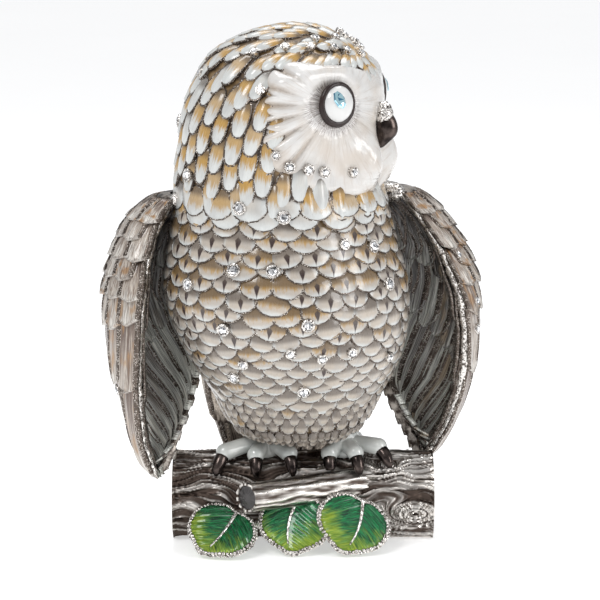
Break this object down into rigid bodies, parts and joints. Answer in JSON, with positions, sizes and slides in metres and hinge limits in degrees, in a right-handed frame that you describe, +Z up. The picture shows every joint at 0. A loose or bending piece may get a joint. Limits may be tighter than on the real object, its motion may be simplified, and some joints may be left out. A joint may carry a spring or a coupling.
{
  "type": "owl figurine",
  "caption": "Enamelled cast owl standing on a hollow log with leaves, wings half open and head turned to its left, set with glass stones.",
  "frame": {"origin": "middle of the log's flat underside, which rests on the shelf", "axes": "+Z up, +X along the log towards the owl's left wing, -Y the way the owl's chest roughly faces"},
  "size_m": [0.119, 0.0741, 0.1642],
  "materials": {
    "log_metal": "cast pewter, antique silver plate with dark patina",
    "branch_metal": "cast pewter, brighter silver plate",
    "plate_metal": "satin",
    "screw_steel": "plain",
    "leaf_metal": "cast pewter, polished silver plate",
    "green_enamel": "translucent green enamel, glossy",
    "feather_enamel": "cast pewter with white, beige and ochre enamel between silver edges",
    "face_enamel": "cast pewter with ivory enamel, satin gloss",
    "white_enamel": "opaque white enamel, glossy",
    "dark_enamel": "dark gunmetal, polished",
    "blue_stone": "pale blue faceted glass",
    "clear_stone": "clear faceted glass, foiled back",
    "cup_metal": "polished silver plate"
  },
  "bodies": {
    "root": {"log_shell": "log_metal", "log_base_plate": "plate_metal", "base_plate_screws": "screw_steel", "owl_screw_washers": "screw_steel", "owl_screws": "screw_steel", "branch": "branch_metal", "leaf_right": "leaf_metal", "leaf_right_enamel": "green_enamel", "leaf_middle": "leaf_metal", "leaf_middle_enamel": "green_enamel", "leaf_left": "leaf_metal", "leaf_left_enamel": "green_enamel", "leaf_twig": "leaf_metal", "body_front_shell": "feather_enamel", "body_back_shell": "feather_enamel", "head_shell": "feather_enamel", "neck_collar": "plate_metal", "face_disc": "face_enamel", "eye_ring_right": "dark_enamel", "eyeball_right": "white_enamel", "eye_stone_right": "blue_stone", "eye_ring_left": "dark_enamel", "eyeball_left": "white_enamel", "eye_stone_left": "blue_stone", "beak": "dark_enamel", "wing_left": "feather_enamel", "wing_right": "feather_enamel", "tail": "feather_enamel", "foot_right": "white_enamel", "talons_right": "dark_enamel", "foot_left": "white_enamel", "talons_left": "dark_enamel", "body_stones": "clear_stone", "body_cups": "cup_metal", "head_stones": "clear_stone", "head_cups": "cup_metal", "face_stones": "clear_stone", "face_cups": "cup_metal", "wing_left_stones": "clear_stone", "wing_left_cups": "cup_metal", "wing_right_stones": "clear_stone", "wing_right_cups": "cup_metal"}
  },
  "joints": []
}
